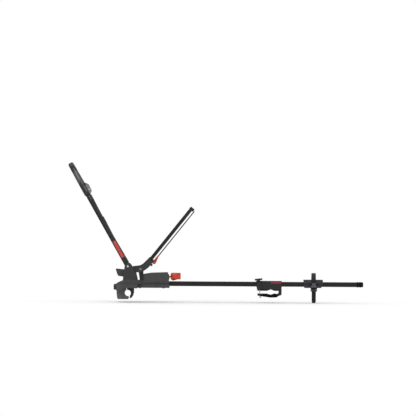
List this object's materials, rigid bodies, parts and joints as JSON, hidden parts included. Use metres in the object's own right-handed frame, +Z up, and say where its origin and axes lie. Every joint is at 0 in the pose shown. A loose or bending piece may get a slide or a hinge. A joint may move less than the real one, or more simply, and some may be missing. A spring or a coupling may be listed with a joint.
{
  "type": "roof mounted bike carrier",
  "caption": "Upright roof bicycle carrier: rail with a clamping head, folding front and rear wheel hoops, middle crossbar clamp and sliding strap tray.",
  "frame": {"origin": "on the axis of the front crossbar opening, in the middle of the rail's width", "axes": "+X back along the rail, away from the head's nose; +Y across the carrier, along the crossbar; +Z up"},
  "size_m": [1.6264, 0.1552, 0.7682],
  "materials": {
    "rail_black": "satin black coating",
    "housing_black": "finely textured moulding",
    "tower_grey": "finely textured moulding",
    "cover_grey": "satin moulding",
    "cover_gloss": "glossy moulding with lengthwise grooves",
    "red_plastic": "satin red moulding",
    "red_film": "bare red film",
    "rubber_black": "moulded rubber",
    "steel_bright": "zinc plated",
    "steel_black": "black coated steel",
    "lever_grey": "satin moulding",
    "core_metal": "polished",
    "strap_black": "flexible moulded strap",
    "buckle_blue": "satin moulding",
    "nylon_pale": "natural nylon",
    "brass": "turned"
  },
  "bodies": {
    "head_and_rail": {"rail": "rail_black", "rail_end_cap": "housing_black", "head_shell": "housing_black", "head_base": "housing_black", "tower_left": "tower_grey", "tower_right": "tower_grey", "hoop_rivets": "steel_bright", "hoop_washers": "nylon_pale", "tyre_cradle": "housing_black", "head_screws": "steel_black", "rail_bolts": "steel_black", "front_hook": "housing_black", "saddle_pad": "rubber_black", "screw_bush": "brass"},
    "claw": {"front_claw": "housing_black", "claw_pad": "rubber_black", "claw_nut": "brass"},
    "dial": {"clamp_screw": "steel_bright", "clamp_dial": "housing_black"},
    "hoop_carriage": {"carriage": "housing_black", "lead_nut": "brass", "pivot_studs": "steel_bright", "pivot_washers": "nylon_pale"},
    "knob": {"adjust_knob": "red_plastic", "lead_screw": "steel_bright"},
    "rear_hoop": {"bracket_left": "tower_grey", "bracket_right": "tower_grey", "rear_hoop_bar": "rail_black", "rear_tip_block": "housing_black", "crank_bolts": "steel_bright"},
    "bail": {"wire_bail": "steel_black", "crank_left": "red_plastic", "crank_right": "red_plastic"},
    "front_hoop": {"front_hoop_bar": "rail_black", "hoop_bushes": "nylon_pale", "top_cover_front": "cover_gloss", "top_cover_back": "cover_gloss", "tyre_pad": "rubber_black", "leg_covers_lower": "cover_grey", "leg_covers_middle": "cover_grey", "leg_covers_upper": "cover_grey", "red_panels": "red_film", "lever_pin": "steel_bright"},
    "hoop_lock": {"lock_lever": "lever_grey"},
    "key_core": {"lock_core": "core_metal"},
    "mid_clamp": {"mid_body": "housing_black", "mid_pad": "rubber_black", "jaw_hinge_pin": "steel_black", "mid_label": "red_film"},
    "jaw": {"mid_jaw": "housing_black", "jaw_pad": "rubber_black"},
    "draw_bolt": {"mid_bolt": "steel_bright"},
    "bolt_knob": {"mid_knob": "housing_black"},
    "tray": {"wheel_tray": "housing_black", "strap": "strap_black", "buckle_frame": "buckle_blue", "tray_pins": "steel_bright", "pawl_spring": "steel_bright"},
    "strap_lever": {"buckle_lever": "buckle_blue"},
    "pawl": {"release_pawl": "buckle_blue"}
  },
  "joints": [
    {"name": "claw_slide", "type": "slide", "parent": "head_and_rail", "child": "claw", "axis": [1, 0, 0], "range_m": [-0.022, 0.003]},
    {"name": "dial_turn", "type": "hinge", "parent": "head_and_rail", "child": "dial", "pos_m": [-0.0725, 0, 0.034], "axis": [1, 0, 0], "range_deg": [-2645, 365]},
    {"name": "carriage_slide", "type": "slide", "parent": "head_and_rail", "child": "hoop_carriage", "axis": [1, 0, 0], "range_m": [-0.008, 0.008]},
    {"name": "knob_turn", "type": "hinge", "parent": "head_and_rail", "child": "knob", "pos_m": [0.25, 0, 0.091], "axis": [1, 0, 0], "range_deg": [-965, 965]},
    {"name": "rear_hoop_fold", "type": "hinge", "parent": "hoop_carriage", "child": "rear_hoop", "pos_m": [0.0699, 0, 0.1326], "axis": [0, 1, 0], "range_deg": [0, 45]},
    {"name": "bail_swing", "type": "hinge", "parent": "rear_hoop", "child": "bail", "pos_m": [0.14423, 0, 0.16918], "axis": [0, 1, 0], "range_deg": [0, 12]},
    {"name": "front_hoop_fold", "type": "hinge", "parent": "head_and_rail", "child": "front_hoop", "pos_m": [0.001, 0, 0.1476], "axis": [0, 1, 0], "range_deg": [-30, 111]},
    {"name": "lock_lever_swing", "type": "hinge", "parent": "front_hoop", "child": "hoop_lock", "pos_m": [-0.23398, -0.064, 0.59947], "axis": [0, -1, 0], "range_deg": [0, 60]},
    {"name": "key_turn", "type": "hinge", "parent": "hoop_lock", "child": "key_core", "pos_m": [-0.21259, -0.0662, 0.56906], "axis": [0, 1, 0], "range_deg": [0, 90]},
    {"name": "mid_clamp_slide", "type": "slide", "parent": "head_and_rail", "child": "mid_clamp", "axis": [1, 0, 0], "range_m": [-0.37, 0.05]},
    {"name": "jaw_swing", "type": "hinge", "parent": "mid_clamp", "child": "jaw", "pos_m": [0.837, 0, 0], "axis": [0, -1, 0], "range_deg": [0, 8]},
    {"name": "draw_bolt_slide", "type": "slide", "parent": "mid_clamp", "child": "draw_bolt", "axis": [0.1045, 0, -0.9945], "range_m": [0, 0.0156]},
    {"name": "bolt_knob_turn", "type": "hinge", "parent": "mid_clamp", "child": "bolt_knob", "pos_m": [0.718, -0.028, 0.079], "axis": [-0.1045, 0, 0.9945], "range_deg": [0, 2800]},
    {"name": "tray_slide", "type": "slide", "parent": "head_and_rail", "child": "tray", "axis": [1, 0, 0], "range_m": [-0.06, 0.18]},
    {"name": "strap_lever_swing", "type": "hinge", "parent": "tray", "child": "strap_lever", "pos_m": [1.021, -0.04788, 0.042], "axis": [1, 0, 0], "range_deg": [0, 60]},
    {"name": "pawl_press", "type": "hinge", "parent": "tray", "child": "pawl", "pos_m": [1.021, -0.04788, 0.024], "axis": [1, 0, 0], "range_deg": [0, 15], "stiffness_Nm_per_rad": 0.08, "springref_deg": -17.19, "deforming": ["pawl_spring"]}
  ],
  "couplings": [
    {"joint": "dial_turn", "follows": "claw_slide", "rad_per_m": 2094.4},
    {"joint": "knob_turn", "follows": "carriage_slide", "rad_per_m": 2094.4},
    {"joint": "draw_bolt_slide", "follows": "jaw_swing", "m_per_rad": 0.1101},
    {"joint": "bolt_knob_turn", "follows": "jaw_swing", "ratio": 345.89}
  ]
}
